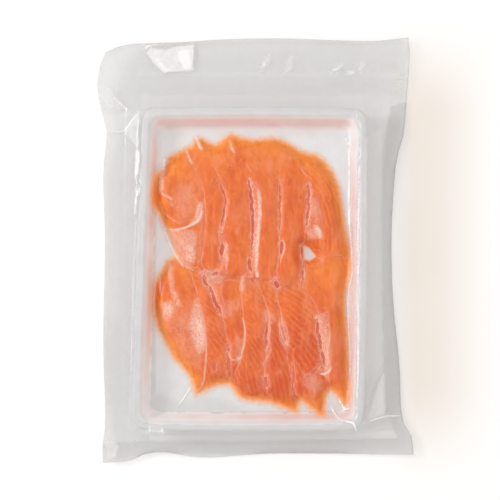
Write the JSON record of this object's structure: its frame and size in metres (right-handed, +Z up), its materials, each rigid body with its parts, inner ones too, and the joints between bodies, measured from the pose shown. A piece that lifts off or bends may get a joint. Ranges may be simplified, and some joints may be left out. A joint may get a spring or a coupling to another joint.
{
  "type": "vacuum pack of salmon sashimi slices",
  "caption": "Two overlapping rows of raw salmon slices on a shallow white foam tray, shrunk tight in a clear sealed pouch with wide flat margins.",
  "frame": {"origin": "centre of the pack's outline, on the surface that its flat underside rests on", "axes": "+Z up out of the tray, +Y along the pack's length towards the wide far flap, +X to the right seen from above"},
  "size_m": [0.2008, 0.27, 0.015],
  "materials": {
    "clear_film": "clear, glossy and crinkled",
    "white_foam": "fine matt foam skin",
    "raw_salmon": "moist raw flesh with pale fat lines"
  },
  "bodies": {
    "root": {"pouch": "clear_film", "tray": "white_foam", "upper_slice_1": "raw_salmon", "upper_slice_2": "raw_salmon", "upper_slice_3": "raw_salmon", "upper_slice_4": "raw_salmon", "upper_slice_5": "raw_salmon", "upper_slice_6": "raw_salmon", "lower_slice_1": "raw_salmon", "lower_slice_2": "raw_salmon", "lower_slice_3": "raw_salmon", "lower_slice_4": "raw_salmon", "lower_slice_5": "raw_salmon", "lower_slice_6": "raw_salmon", "lower_slice_7": "raw_salmon"}
  },
  "joints": []
}
